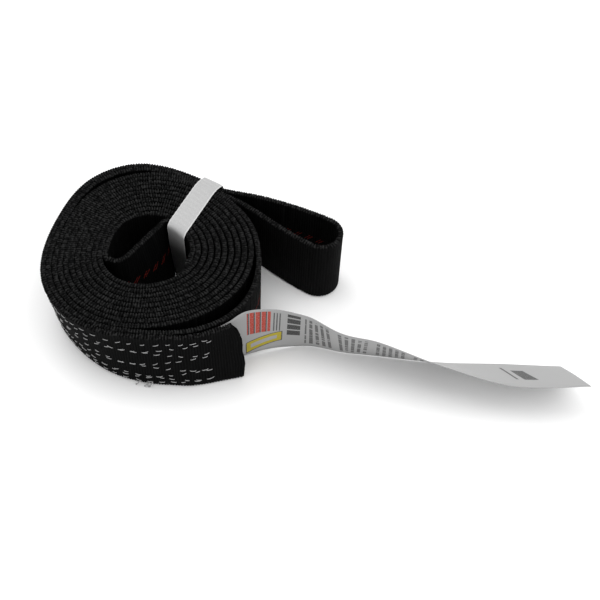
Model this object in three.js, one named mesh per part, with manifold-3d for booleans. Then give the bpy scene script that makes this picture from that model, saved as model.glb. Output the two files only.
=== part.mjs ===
import * as THREE from 'three';
import { mergeVertices } from 'three/addons/utils/BufferGeometryUtils.js';
import Module from 'manifold-3d';

// A winch strap rolled up on its side: one length of webbing that makes the sewn eye, the sewn
// tail and the coil, a satin band that ties the roll, and a label tape. Millimetres, +Z up.
// The roll's axis is vertical. Places along the webbing are counted in turns from the front of
// the roll (-Y), where turn 0 is the sewn standing part; they grow inwards, counter-clockwise.
// Directions round the roll are in degrees from +X, counter-clockwise.

// Webbing and coil
const WEB_WIDTH = 50.8;
const WEB_THICK = 3.2;
const TURNS = 9.8;
const TURN_GAP = 0.5;            // between turns on the tight side, -X
const HOLLOW_RADIUS = 27.1;      // to the innermost turn's inner face
const CORE_SHIFT = 2.4;          // how far the hollow lies off the roll's axis, towards -X
const OUT_OF_ROUND = 0.024;      // three soft corners, as a share of each turn's radius
const CORNER_ANGLE = 225;        // direction of one of the corners
const DENT = 3;                  // how far the outermost ply is pressed in, left back
const DENT_ANGLE = 165;
const DENT_SPREAD = 45;
const DENT_CORE_SHARE = 0.35;    // share of the dent that the innermost turn has
const SIDE_LEAN = 8;             // how far the outer turns' bottom edges are drawn in, left front
const LEAN_ANGLE = 222;
const LEAN_SPREAD = 58;
const LEAN_CORE_SHARE = 0.62;    // share of the lean that the innermost turn has
const END_GROOVE = 8;            // depth to which the gaps between turns show on the ends

// Inner end: route over the hollow as shares of its radius, then along the far wall
const CROSSING = [
  [-1.0, -0.34],
  [-0.86, -0.4],
  [-0.66, -0.31],
  [-0.38, 0.05],
  [-0.08, 0.46],
  [0.12, 0.72],
];
const CROSSING_LEAN = 9;         // its bottom edge stands this far from below its top edge
const CROSSING_LEAN_ANGLE = -30;
const CROSSING_LEAN_PLACE = 0.62;    // where along its route that is, and how far it reaches
const CROSSING_LEAN_SPREAD = 0.3;
const WALL_FROM_ANGLE = 68;      // where it meets the wall and where it ends
const WALL_TO_ANGLE = -30;

// Sewn tail and standing part
const PLY_GAP = 0.35;            // between plies that lie against each other
const TAIL_ANGLE = 43;           // degrees past the front at which the tail's free end stands
const TAIL_FLARE = 3.4;          // how far the free end springs off the standing part
const FLARE_SPREAD = 14;
const TAIL_FOOT = 6.3;           // how much further the free end's bottom corner stands out
const TAIL_FOOT_POWER = 2.2;
const SEWN_LENGTH = 130;
const SEWN_MARGIN = 20;          // unsewn webbing at the free end
const STANDING_BULGE = 7.2;      // slack of the standing part over the coil, front right
const STANDING_BULGE_ANGLE = -50;
const STANDING_BULGE_SPREAD = 54;

// Eye
const EYE_BULGE = 2.6;           // slack of the two eye plies over the coil, back left
const EYE_BULGE_ANGLE = 115;
const EYE_BULGE_SPREAD = 42;
const EYE_LENGTH = 91.2;
const EYE_WIDTH = 28.6;
const EYE_ANGLE = -32.3;         // the direction in which the eye points
const EYE_ROOT_FAR = 53;         // where each ply leaves the roll
const EYE_ROOT_NEAR = 49;
const FAR_SIDE_BOW = [0.16, 0.34];   // curve handles at root and end, shares of the side
const NEAR_SIDE_BOW = [0.3, 0.3];

// Tie band
const BAND_WIDTH = 15;
const BAND_THICK = 0.6;
const BAND_ANGLE = 64.2;         // the direction in which the band crosses the roll
const BAND_OFFSET = 6.5;         // from the roll's axis to the band's centre line
const BAND_CLEARANCE = 0.4;
const BAND_PRESS = 7;            // how far the band presses the tail's top edge down
const BAND_SHOULDER = 0.72;      // share of that at the band's own outer corner
const BAND_SLACK = 1.6;          // how far the band hangs off the wall of the hollow
const BAND_BEND = 4.5;           // height in which it bends over the edge there
const PRESS_SPREAD = 46;
const PRESS_SHARE = { nearPly: 0.75, standing: 0.35, farRoot: 0.8 };
const SLANT = 1.2;               // thickness of webbing crossed at a slant, in thicknesses

// Label tape
const LABEL_WIDTH = 44;
const LABEL_THICK = 0.5;
const LABEL_CLEARANCE = 0.35;
const LABEL_TUCK_ANGLE = 20;     // degrees past the front at which its hidden end lies
const LABEL_TUCK_LIFT = 3;       // how far the hidden end's lower edge is off the floor
const LABEL_FOOT = 0.3;          // lowest point of the lower edge outside the roll
const POCKET_SPREAD = 12;
const LABEL_END_SLANT = 7;       // how much shorter its lower edge is at the crooked cut end
const SLANT_STEPS = 6;           // last steps over which that comes in
// Centre line outside the roll: x and y from where the tape leaves the roll, and the lean of the
// tape from level, in degrees.
const LABEL_ROUTE = [
  [10.7, 7.4, 88.3],
  [23.2, 10.7, 91.1],
  [37.2, 12.5, 96.1],
  [52.2, 11.4, 102.4],
  [73.2, 3.1, 111.2],
  [93.7, -0.8, 114.5],
  [135.2, -10.9, 129],
  [176.7, -16, 142.8],
  [220.7, -17.4, 140.1],
];

// Fineness
const STEPS_PER_TURN = 36;
const LEAST_STEP = 0.3;          // shortest step at an end, in whole steps
const EYE_STEPS = { side: 11, end: 12 };
const CROSSING_STEPS = 4;        // between two points of its route
const BAND_COLUMNS = 6;
const LABEL_STEPS = 36;

const FRONT = -90;
const UPRIGHT = 90;
const TURN_PITCH = WEB_THICK + TURN_GAP + CORE_SHIFT / TURNS;
const PLY_PITCH = WEB_THICK + PLY_GAP;
const LABEL_POCKET = LABEL_THICK + 2 * LABEL_CLEARANCE;
const LAST_RADIUS = HOLLOW_RADIUS + WEB_THICK / 2;
const SEWN_RADIUS = LAST_RADIUS + TURN_PITCH * TURNS + PLY_PITCH;
const COIL_JOIN_FROM = 1.62;     // turn from which a turn lies against the one outside it
const COIL_JOIN_TO = TURNS - 0.06;

const rad = THREE.MathUtils.degToRad;
const deg = THREE.MathUtils.radToDeg;
const wasm = await Module();
wasm.setup();

const turnsAt = (degrees) => (degrees - FRONT) / 360;
const degreesAt = (turns) => FRONT + 360 * turns;

// Smooth hump: 1 at the centre, 0 beyond the spread.
function hump(value, centre, spread) {
  const share = Math.abs(value - centre) / spread;
  return share < 1 ? Math.cos((share * Math.PI) / 2) ** 2 : 0;
}

// The same hump on a circle of degrees.
function humpRound(degrees, centre, spread) {
  const turned = THREE.MathUtils.euclideanModulo(degrees - centre + 180, 360) - 180;
  return hump(turned, 0, spread);
}

// A share that is one at the outermost ply and less at the innermost turn.
const fade = (coreShare, turns) => 1 - (1 - coreShare) * THREE.MathUtils.clamp(turns / TURNS, 0, 1);

function turnRadius(turns) {
  const degrees = degreesAt(turns);
  const round = LAST_RADIUS + TURN_PITCH * (TURNS - turns);
  const corner = OUT_OF_ROUND * Math.cos(3 * rad(degrees - CORNER_ANGLE));
  const dent = DENT * fade(DENT_CORE_SHARE, turns) * humpRound(degrees, DENT_ANGLE, DENT_SPREAD);
  return round * (1 + corner) - dent;
}

// A station is one cross-section of a strip: the middle of its top and bottom edge.
function station(x, y, shiftX, shiftY, drop) {
  return {
    top: new THREE.Vector3(x, y, WEB_WIDTH - drop),
    bottom: new THREE.Vector3(x + shiftX, y + shiftY, 0),
  };
}

// A station on the roll, so many turns in and pushed outwards by a distance, its top edge
// pressed down by a share of what the band does to the tail.
function rollStation(turns, outwards, pressShare) {
  const degrees = degreesAt(turns);
  const angle = rad(degrees);
  const radius = turnRadius(turns) + outwards;
  const lean = -SIDE_LEAN * fade(LEAN_CORE_SHARE, turns) * humpRound(degrees, LEAN_ANGLE, LEAN_SPREAD);
  const rimAngle = BAND_ANGLE - deg(Math.asin(BAND_OFFSET / SEWN_RADIUS));
  return station(
    radius * Math.cos(angle) - CORE_SHIFT * (1 - fade(0, turns)),
    radius * Math.sin(angle),
    lean * Math.cos(angle),
    lean * Math.sin(angle),
    BAND_PRESS * pressShare * humpRound(degrees, rimAngle, PRESS_SPREAD),
  );
}

// How far the webbing stands off the layer inside it.
function slackAt(turns) {
  const degrees = degreesAt(turns);
  return STANDING_BULGE * hump(degrees, STANDING_BULGE_ANGLE, STANDING_BULGE_SPREAD)
    + EYE_BULGE * hump(degrees, EYE_BULGE_ANGLE - 360, EYE_BULGE_SPREAD);
}

function tailStation(turns) {
  const past = degreesAt(turns) - FRONT;
  const opening = THREE.MathUtils.smoothstep(past, LABEL_TUCK_ANGLE - POCKET_SPREAD, LABEL_TUCK_ANGLE);
  const flare = TAIL_FLARE * Math.max(0, (past - TAIL_ANGLE + FLARE_SPREAD) / FLARE_SPREAD) ** 2;
  const outwards = PLY_PITCH + slackAt(turns) + LABEL_POCKET * opening + flare;
  const place = rollStation(turns, outwards, 1);
  const foot = TAIL_FOOT * Math.max(0, past / TAIL_ANGLE) ** TAIL_FOOT_POWER;
  place.bottom.addScaledVector(place.top.clone().setZ(0).normalize(), foot);
  return place;
}

// The near ply of the eye, then the standing part, then the coil.
function innerStation(turns) {
  let pressShare = 0;
  if (turns < 0) pressShare = PRESS_SHARE.nearPly;
  else if (turns < 1) pressShare = PRESS_SHARE.standing;
  return rollStation(turns, slackAt(turns), pressShare);
}

// Stations from one place along the webbing to another, on the same angular steps every turn.
function steps(from, to, make) {
  const first = Math.min(from, to);
  const last = Math.max(from, to);
  const places = [first];
  const stop = last * STEPS_PER_TURN - LEAST_STEP;
  for (let k = Math.floor(first * STEPS_PER_TURN) + 1; k < stop; k += 1) {
    if (k - first * STEPS_PER_TURN > LEAST_STEP) places.push(k / STEPS_PER_TURN);
  }
  places.push(last);
  if (to < from) places.reverse();
  return places.map(make);
}

const flat = (place) => new THREE.Vector2(place.top.x, place.top.y);
const headingOf = (from, to) => flat(to).sub(flat(from)).normalize();

// The eye outside the roll: two bowed sides and a round end.
function eyeStations(farRoot, farHeading, nearRoot, nearHeading) {
  const axis = new THREE.Vector2(Math.cos(rad(EYE_ANGLE)), Math.sin(rad(EYE_ANGLE)));
  const across = new THREE.Vector2(-axis.y, axis.x);
  const bend = (EYE_WIDTH - WEB_THICK) / 2;
  const pinch = farRoot.clone().add(nearRoot).multiplyScalar(0.5);
  const centre = pinch.clone().addScaledVector(axis, EYE_LENGTH - EYE_WIDTH / 2);
  const farEnd = centre.clone().addScaledVector(across, bend);
  const nearEnd = centre.clone().addScaledVector(across, -bend);
  const side = farEnd.distanceTo(farRoot);
  const curve = new THREE.CurvePath();
  curve.add(new THREE.CubicBezierCurve(
    farRoot,
    farRoot.clone().addScaledVector(farHeading, side * FAR_SIDE_BOW[0]),
    farEnd.clone().addScaledVector(axis, -side * FAR_SIDE_BOW[1]),
    farEnd,
  ));
  curve.add(new THREE.EllipseCurve(
    centre.x, centre.y, bend, bend, rad(EYE_ANGLE + 90), rad(EYE_ANGLE - 90), true,
  ));
  curve.add(new THREE.CubicBezierCurve(
    nearEnd,
    nearEnd.clone().addScaledVector(axis, -side * NEAR_SIDE_BOW[1]),
    nearRoot.clone().addScaledVector(nearHeading, -side * NEAR_SIDE_BOW[0]),
    nearRoot,
  ));
  const counts = [EYE_STEPS.side, EYE_STEPS.end, EYE_STEPS.side];
  const points = curve.curves.flatMap((part, i) => part.getPoints(counts[i]).slice(i ? 1 : 0));
  return points.slice(1, -1).map((point) => {
    const near = Math.max(0, 1 - point.distanceTo(pinch) / (side / 2));
    return station(point.x, point.y, 0, 0, BAND_PRESS * PRESS_SHARE.farRoot * near ** 2);
  });
}

// The inner end: off the last turn, across the hollow and back along the far wall.
function innerEndStations(lastPlaces) {
  const wallFrom = turnsAt(WALL_FROM_ANGLE) + Math.floor(TURNS);
  const wallTo = turnsAt(WALL_TO_ANGLE) + Math.floor(TURNS);
  const wall = steps(wallFrom, wallTo, (turns) => rollStation(turns, -PLY_PITCH, 0));
  const across = CROSSING.map(([x, y]) => new THREE.Vector2(x, y).multiplyScalar(HOLLOW_RADIUS));
  const knots = [...lastPlaces.slice(-2).map(flat), ...across, ...wall.slice(0, 2).map(flat)];
  const curve = new THREE.CatmullRomCurve3(
    knots.map((p) => new THREE.Vector3(p.x, p.y, 0)), false, 'centripetal',
  );
  const all = (knots.length - 1) * CROSSING_STEPS;
  const bridge = [];
  for (let i = CROSSING_STEPS + 1; i < all - CROSSING_STEPS; i += 1) {
    const p = curve.getPoint(i / all);
    const lean = CROSSING_LEAN * hump(i / all, CROSSING_LEAN_PLACE, CROSSING_LEAN_SPREAD);
    const angle = rad(CROSSING_LEAN_ANGLE);
    bridge.push(station(p.x, p.y, lean * Math.cos(angle), lean * Math.sin(angle), 0));
  }
  return [...bridge, ...wall];
}

function webbingStations() {
  const tail = steps(turnsAt(FRONT + TAIL_ANGLE), turnsAt(EYE_ROOT_FAR - 360), tailStation);
  const nearPly = steps(turnsAt(EYE_ROOT_NEAR - 360), 0, innerStation);
  const coil = steps(0, TURNS, innerStation).slice(1);
  const eye = eyeStations(
    flat(tail.at(-1)), headingOf(tail.at(-2), tail.at(-1)),
    flat(nearPly[0]), headingOf(nearPly[0], nearPly[1]),
  );
  return [...tail, ...eye, ...nearPly, ...coil, ...innerEndStations(coil)];
}

// Unit sideways direction of a strip at each station, level and square to its run.
function levelSides(stations) {
  return stations.map((_, i) => {
    const before = stations[Math.max(i - 1, 0)];
    const after = stations[Math.min(i + 1, stations.length - 1)];
    const run = headingOf(before, after);
    return new THREE.Vector3(-run.y, run.x, 0);
  });
}

// A closed strip with the same thickness all along, from its stations and sideways directions.
// Both its wide faces are halved from top to bottom the same way, so a twist doesn't thin it.
function stripGeometry(stations, sides, thick) {
  const corners = [];
  const faces = [];
  stations.forEach(({ top, bottom }, i) => {
    const side = sides[i].clone().multiplyScalar(thick / 2);
    corners.push(
      top.clone().add(side), top.clone().sub(side),
      bottom.clone().sub(side), bottom.clone().add(side),
    );
    if (i === 0) return;
    const here = 4 * i;
    const back = here - 4;
    for (let j = 0; j < 3; j += 1) {
      faces.push(back + j, back + j + 1, here + j + 1, back + j, here + j + 1, here + j);
    }
    faces.push(back + 3, back, here + 3, back, here, here + 3);
  });
  const last = 4 * (stations.length - 1);
  faces.push(0, 2, 1, 0, 3, 2, last, last + 1, last + 2, last, last + 2, last + 3);
  return indexedGeometry(corners, faces);
}

function indexedGeometry(corners, faces) {
  const geometry = new THREE.BufferGeometry().setFromPoints(corners);
  geometry.setIndex(faces);
  return geometry;
}

function toSolid(geometry) {
  const bare = geometry.clone();
  bare.deleteAttribute('normal');
  bare.deleteAttribute('uv');
  const merged = mergeVertices(bare);
  return new wasm.Manifold(new wasm.Mesh({
    numProp: 3,
    vertProperties: new Float32Array(merged.getAttribute('position').array),
    triVerts: new Uint32Array(merged.index.array),
  }));
}

function toGeometry(solid) {
  const mesh = solid.getMesh();
  const geometry = new THREE.BufferGeometry();
  geometry.setAttribute('position', new THREE.BufferAttribute(mesh.vertProperties, 3));
  geometry.setIndex(new THREE.BufferAttribute(mesh.triVerts, 1));
  geometry.computeVertexNormals();
  return geometry;
}

// What joins two neighbouring layers below the grooves on the ends.
function joinGeometry(inner, outer, thick) {
  const share = END_GROOVE / WEB_WIDTH;
  const middle = inner.map((place, i) => {
    const top = place.top.clone().add(outer[i].top).multiplyScalar(0.5);
    const bottom = place.bottom.clone().add(outer[i].bottom).multiplyScalar(0.5);
    return { top: top.clone().lerp(bottom, share), bottom: bottom.clone().lerp(top, share) };
  });
  return stripGeometry(middle, levelSides(middle), thick);
}

function webbingSolid(stations) {
  const coilJoin = joinGeometry(
    steps(COIL_JOIN_FROM, COIL_JOIN_TO, innerStation),
    steps(COIL_JOIN_FROM, COIL_JOIN_TO, (turns) => innerStation(turns - 1)),
    TURN_PITCH - WEB_THICK / 2,
  );
  const sewnEnd = turnsAt(FRONT + TAIL_ANGLE - deg(SEWN_MARGIN / SEWN_RADIUS));
  const sewnStart = sewnEnd - SEWN_LENGTH / (2 * Math.PI * SEWN_RADIUS);
  const pocket = turnsAt(FRONT + LABEL_TUCK_ANGLE - POCKET_SPREAD);
  const sewnJoin = joinGeometry(
    steps(sewnStart, pocket, innerStation),
    steps(sewnStart, pocket, tailStation),
    WEB_THICK,
  );
  return toSolid(stripGeometry(stations, levelSides(stations), WEB_THICK))
    .add(toSolid(coilJoin))
    .add(toSolid(sewnJoin))
    .subtract(toSolid(bandBedGeometry(stations)));
}

// Directions of the band's run over the roll, and across its width.
function bandDirections() {
  const along = new THREE.Vector2(Math.cos(rad(BAND_ANGLE)), Math.sin(rad(BAND_ANGLE)));
  return { along, aside: new THREE.Vector2(along.y, -along.x) };
}

// First and last place where the webbing meets a line along the band, as distances along it.
function heldSpan(stations, offset) {
  const { along, aside } = bandDirections();
  const hits = [];
  for (let i = 1; i < stations.length; i += 1) {
    const a = flat(stations[i - 1]);
    const b = flat(stations[i]);
    const sideA = a.dot(aside) - offset;
    const sideB = b.dot(aside) - offset;
    if (sideA * sideB > 0 || sideA === sideB) continue;
    const hit = a.clone().lerp(b, sideA / (sideA - sideB)).dot(along);
    if (hit > 0) hits.push(hit);
  }
  const half = (SLANT * WEB_THICK) / 2;
  return { inner: Math.min(...hits) - half, outer: Math.max(...hits) + half };
}

// The corners of a clockwise loop with each of its sides moved out by a distance.
function movedOut(loop, distance) {
  return loop.map((corner, i) => {
    const next = loop[(i + 1) % loop.length];
    const [before, after] = [[loop.at(i - 1), corner], [corner, next]].map(([from, to]) => {
      const run = to.clone().sub(from).normalize();
      return new THREE.Vector2(-run.y, run.x);
    });
    const both = before.clone().add(after);
    return corner.clone().addScaledVector(both, distance / (1 + before.dot(after)));
  });
}

// The tie band: a closed loop round the section of the roll that it holds, in columns across
// its width. The inside of the loop is six corners, and the outside is the same ones moved out.
function bandGeometry(stations) {
  const { along, aside } = bandDirections();
  const corners = [];
  const faces = [];
  const loop = 6;
  for (let j = 0; j <= BAND_COLUMNS; j += 1) {
    const offset = BAND_OFFSET + BAND_WIDTH * (j / BAND_COLUMNS - 0.5);
    const span = heldSpan(stations, offset);
    const inner = span.inner - BAND_CLEARANCE - BAND_SLACK;
    const outer = span.outer + BAND_CLEARANCE;
    const knee = outer - 2 * PLY_PITCH - WEB_THICK - TURN_GAP;
    const high = WEB_WIDTH + BAND_CLEARANCE;
    const shoulder = high - BAND_PRESS * BAND_SHOULDER;
    const low = BAND_THICK;
    const inside = [
      [inner, low],
      [inner, high - BAND_BEND],
      [span.inner, high],
      [knee, high],
      [outer, shoulder],
      [outer, low],
    ].map(([run, height]) => new THREE.Vector2(run, height));
    [...inside, ...movedOut(inside, BAND_THICK)].forEach(({ x: run, y: height }) => {
      const plan = along.clone().multiplyScalar(run).addScaledVector(aside, offset);
      corners.push(new THREE.Vector3(plan.x, plan.y, height));
    });
    if (j === 0) continue;
    const here = 2 * loop * j;
    const back = here - 2 * loop;
    for (let i = 0; i < loop; i += 1) {
      const next = (i + 1) % loop;
      faces.push(back + i, back + next, here + next, back + i, here + next, here + i);
      faces.push(back + loop + i, here + loop + next, back + loop + next);
      faces.push(back + loop + i, here + loop + i, here + loop + next);
    }
  }
  const last = 2 * loop * BAND_COLUMNS;
  for (let i = 0; i < loop; i += 1) {
    const next = (i + 1) % loop;
    faces.push(i, loop + i, loop + next, i, loop + next, next);
    faces.push(last + i, last + loop + next, last + loop + i);
    faces.push(last + i, last + next, last + loop + next);
  }
  return indexedGeometry(corners, faces);
}

// The bed that the tie band lies in under the roll.
function bandBedGeometry(stations) {
  const { along, aside } = bandDirections();
  const span = heldSpan(stations, BAND_OFFSET);
  const runOut = 3 * WEB_THICK;
  const length = span.outer - span.inner + 2 * runOut;
  const depth = BAND_THICK + BAND_CLEARANCE;
  const bed = new THREE.BoxGeometry(length, BAND_WIDTH + 2 * BAND_CLEARANCE, 2 * depth);
  const middle = (span.inner + span.outer) / 2;
  bed.rotateZ(rad(BAND_ANGLE));
  bed.translate(
    middle * along.x + BAND_OFFSET * aside.x,
    middle * along.y + BAND_OFFSET * aside.y,
    0,
  );
  return bed;
}

// The label tape: standing on its lower edge, tucked between tail and standing part. Along its
// route a point's z is the lean of the tape, in degrees.
function labelGeometry() {
  const route = [];
  const tuckFrom = turnsAt(FRONT + LABEL_TUCK_ANGLE);
  const tuckTo = turnsAt(FRONT + TAIL_ANGLE - 3);
  const beside = (WEB_THICK + LABEL_THICK) / 2 + LABEL_CLEARANCE;
  for (let k = 0; k <= 2; k += 1) {
    const turns = THREE.MathUtils.lerp(tuckFrom, tuckTo, k / 2);
    const at = flat(rollStation(turns, slackAt(turns) + beside, 0));
    route.push(new THREE.Vector3(at.x, at.y, UPRIGHT));
  }
  const exit = route.at(-1);
  LABEL_ROUTE.forEach(([x, y, lean]) => route.push(new THREE.Vector3(exit.x + x, exit.y + y, lean)));
  const curve = new THREE.CatmullRomCurve3(route, false, 'centripetal');
  const points = curve.getPoints(LABEL_STEPS);
  const stations = [];
  const sides = [];
  points.forEach((point, i) => {
    const before = points[Math.max(i - 1, 0)];
    const after = points[Math.min(i + 1, points.length - 1)];
    const run = new THREE.Vector3(after.x - before.x, after.y - before.y, 0).normalize();
    const level = new THREE.Vector3(-run.y, run.x, 0);
    const lean = rad(point.z);
    const up = new THREE.Vector3(0, 0, Math.sin(lean)).addScaledVector(level, Math.cos(lean));
    const lift = LABEL_TUCK_LIFT * (1 - THREE.MathUtils.smoothstep(point.z, UPRIGHT, UPRIGHT + 10));
    const half = (LABEL_WIDTH / 2) * Math.sin(lean);
    const height = LABEL_FOOT + LABEL_THICK / 2 + lift + half;
    const middle = new THREE.Vector3(point.x, point.y, height);
    const slant = LABEL_END_SLANT * Math.max(0, (i - LABEL_STEPS) / SLANT_STEPS + 1);
    stations.push({
      top: middle.clone().addScaledVector(up, LABEL_WIDTH / 2),
      bottom: middle.clone().addScaledVector(up, -LABEL_WIDTH / 2).addScaledVector(run, -slant),
    });
    sides.push(new THREE.Vector3().crossVectors(up, run).normalize());
  });
  return stripGeometry(stations, sides, LABEL_THICK);
}

function piece(name, geometry, color, roughness) {
  const material = new THREE.MeshStandardMaterial({ color, roughness, metalness: 0 });
  const mesh = new THREE.Mesh(geometry, material);
  mesh.name = name;
  return mesh;
}

const stations = webbingStations();
const strap = new THREE.Group();
strap.add(piece('webbing', toGeometry(webbingSolid(stations)), 0x16171a, 0.85));
strap.add(piece('tie_band', bandGeometry(stations), 0xe4e5e8, 0.35));
strap.add(piece('label', labelGeometry(), 0xe6e6e4, 0.6));

// The origin is under the middle of the whole object.
const middle = new THREE.Box3().setFromObject(strap).getCenter(new THREE.Vector3());
strap.position.set(-middle.x, -middle.y, 0);

export default strap;
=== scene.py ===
"""A rolled winch strap of ribbed black webbing, with its sewing, tie band and label tape.

Shapes are worked out in millimetres about the roll's vertical axis, and go into the meshes in
metres in the row's frame. A strip of webbing or tape is an array of cross-sections, each with
the middle of its top and bottom edge.
"""

import logging
import math
from dataclasses import dataclass, field
from enum import Enum
from typing import Optional, Sequence, Union

import bpy
import numpy as np
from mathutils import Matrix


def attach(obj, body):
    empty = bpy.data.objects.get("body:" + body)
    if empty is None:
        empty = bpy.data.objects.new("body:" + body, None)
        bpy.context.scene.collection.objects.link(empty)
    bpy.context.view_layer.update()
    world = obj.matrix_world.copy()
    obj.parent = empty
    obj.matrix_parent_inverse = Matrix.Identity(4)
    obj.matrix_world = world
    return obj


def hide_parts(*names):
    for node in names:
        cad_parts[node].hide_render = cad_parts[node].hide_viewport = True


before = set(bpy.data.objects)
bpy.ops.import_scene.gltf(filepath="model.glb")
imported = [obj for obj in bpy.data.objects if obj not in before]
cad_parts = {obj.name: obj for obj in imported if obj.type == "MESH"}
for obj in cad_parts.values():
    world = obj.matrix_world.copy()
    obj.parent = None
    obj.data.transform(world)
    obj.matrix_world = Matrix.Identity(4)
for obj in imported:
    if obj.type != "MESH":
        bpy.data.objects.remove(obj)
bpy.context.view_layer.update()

Array = np.ndarray
Number = Union[float, int]
LOG = logging.getLogger("winch_strap")

MM = 0.001                          # a millimetre in metres
ROLL_AXIS = np.array([-99.214, 7.993, 0.0])   # the roll's axis in the row's frame, mm
FRONT = -90.0


class Held(Enum):
    """How a sheet is held."""

    STRETCHED = "stretched"
    LAID = "laid"


# Shapes as arrays


def hump(value: Array, centre: float, spread: float) -> Array:
    """cos squared of a quarter turn times the share of the spread: 1 at the centre, 0 beyond.

    Args:
        value: Where the hump is read.
        centre: Its middle.
        spread: Half its width.

    Returns:
        The hump's height from 0 to 1.
    """
    share = np.minimum(np.abs(np.asarray(value, float) - centre) / spread, 1.0)
    return np.cos(share * np.pi / 2) ** 2


def hump_round(degrees: Array, centre: float, spread: float) -> Array:
    """The same hump on a circle of degrees.

    Args:
        degrees: Directions.
        centre: The hump's direction.
        spread: Half its width.

    Returns:
        The hump's height from 0 to 1.
    """
    return hump((np.asarray(degrees, float) - centre + 180) % 360 - 180, 0, spread)


def smooth_step(value: Array, low: float, high: float) -> Array:
    """3 t squared less 2 t cubed, where t goes from 0 at low to 1 at high.

    Args:
        value: Where the step is read.
        low: Where it starts.
        high: Where it ends.

    Returns:
        The step's height from 0 to 1.
    """
    t = np.clip((np.asarray(value, float) - low) / (high - low), 0, 1)
    return t * t * (3 - 2 * t)


def bezier(a: Array, b: Array, c: Array, d: Array, count: int) -> Array:
    """Cubic curve (1-t)^3 a + 3 (1-t)^2 t b + 3 (1-t) t^2 c + t^3 d.

    Args:
        a: Start.
        b: First handle.
        c: Second handle.
        d: End.
        count: How many points.

    Returns:
        Points in rows.
    """
    t = np.linspace(0, 1, count)[:, None]
    return (1 - t) ** 3 * a + 3 * (1 - t) ** 2 * t * b + 3 * (1 - t) * t**2 * c + t**3 * d


def through(knots: Array, per_span: int) -> Array:
    """Centripetal Catmull-Rom curve: each span is a Hermite cubic whose end slopes come from the
    neighbouring knots, spaced by the square root of their distances.

    Args:
        knots: Points to pass through, in rows.
        per_span: Points for each span.

    Returns:
        Points in rows, both ends included.
    """
    knots = np.asarray(knots, float)
    before = 2 * knots[0] - knots[1]
    after = 2 * knots[-1] - knots[-2]
    p = np.vstack([before, knots, after])
    gap = np.sqrt(np.linalg.norm(np.diff(p, axis=0), axis=1))[:, None]
    p0, p1, p2, p3 = p[:-3], p[1:-2], p[2:-1], p[3:]
    g0, g1, g2 = gap[:-2], gap[1:-1], gap[2:]
    slope1 = ((p1 - p0) / g0 - (p2 - p0) / (g0 + g1) + (p2 - p1) / g1) * g1
    slope2 = ((p2 - p1) / g1 - (p3 - p1) / (g1 + g2) + (p3 - p2) / g2) * g1
    t = np.linspace(0, 1, per_span, endpoint=False)[None, :, None]
    p1, p2, slope1, slope2 = (x[:, None, :] for x in (p1, p2, slope1, slope2))
    spans = (
        (2 * t**3 - 3 * t**2 + 1) * p1
        + (t**3 - 2 * t**2 + t) * slope1
        + (-2 * t**3 + 3 * t**2) * p2
        + (t**3 - t**2) * slope2
    )
    return np.vstack([spans.reshape(-1, knots.shape[1]), knots[-1:]])


def arc_length(points: Array) -> Array:
    """Running sum of the distances between neighbouring points.

    Args:
        points: Points in rows.

    Returns:
        The distance of each from the first.
    """
    steps = np.linalg.norm(np.diff(points, axis=0), axis=1)
    return np.concatenate([[0.0], np.cumsum(steps)])


def unit(vectors: Array) -> Array:
    """Vectors divided by their lengths, along the last axis.

    Args:
        vectors: Any array of vectors.

    Returns:
        Unit vectors.
    """
    return vectors / np.maximum(np.linalg.norm(vectors, axis=-1, keepdims=True), 1e-12)


def soften(values: Array, width: int) -> Array:
    """Moving mean over a window, with the ends held.

    Args:
        values: A row of numbers.
        width: Half the window, in steps.

    Returns:
        The smoothed row.
    """
    padded = np.pad(values, width, mode="edge")
    kernel = np.hanning(2 * width + 3)[1:-1]
    return np.convolve(padded, kernel / kernel.sum(), mode="valid")


def grid_quads(rows: int, columns: int, closed: bool, first: int = 0) -> Array:
    """Four corners of each cell of a grid of points stored row by row.

    Args:
        rows: Rows of points.
        columns: Points in a row.
        closed: Whether a row's last point joins its first.
        first: Number of the grid's first point.

    Returns:
        Point numbers, four to a cell.
    """
    across = columns if closed else columns - 1
    i, j = np.meshgrid(np.arange(rows - 1), np.arange(across), indexing="ij")
    k = (j + 1) % columns
    cells = np.stack([i * columns + j, i * columns + k, (i + 1) * columns + k,
                      (i + 1) * columns + j], axis=-1)
    return cells.reshape(-1, 4) + first


@dataclass
class Strip:
    """A strip's cross-sections, with the distance of each along it."""

    top: Array
    bottom: Array

    def __post_init__(self) -> None:
        """Work out lengths, headings and sideways directions."""
        middle = (self.top + self.bottom) / 2
        self.along = arc_length(middle[:, :2])
        run = unit(np.gradient(middle[:, :2], self.along, axis=0))
        self.left = np.column_stack([-run[:, 1], run[:, 0], np.zeros(len(run))])

    @property
    def length(self) -> float:
        """Length of the strip, mm."""
        return float(self.along[-1])

    def at(self, along: Array, share: Array, out: Array) -> Array:
        """Points of the strip: along it, up from its bottom edge and out to its left.

        Args:
            along: Distance along the strip, mm.
            share: Height as a share of the width.
            out: Distance to the left of its middle, mm.

        Returns:
            Points, on the last axis of an array of the arguments' shape.
        """
        along, share, out = np.broadcast_arrays(along, share, out)

        def read(values: Array) -> Array:
            """Values of the cross-sections at the asked distances."""
            return np.stack([np.interp(along, self.along, values[:, k]) for k in range(3)], -1)

        bottom = read(self.bottom)
        return bottom + (read(self.top) - bottom) * share[..., None] + read(self.left) * out[..., None]

    def even(self, step: float) -> "Strip":
        """The same strip at even steps.

        Args:
            step: Distance between cross-sections, mm.

        Returns:
            The new strip.
        """
        count = int(round(self.length / step)) + 1
        where = np.linspace(0, self.length, count)
        parts = [np.stack([np.interp(where, self.along, v[:, k]) for k in range(3)], -1)
                 for v in (self.top, self.bottom)]
        return Strip(*parts)


# Meshes


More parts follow.
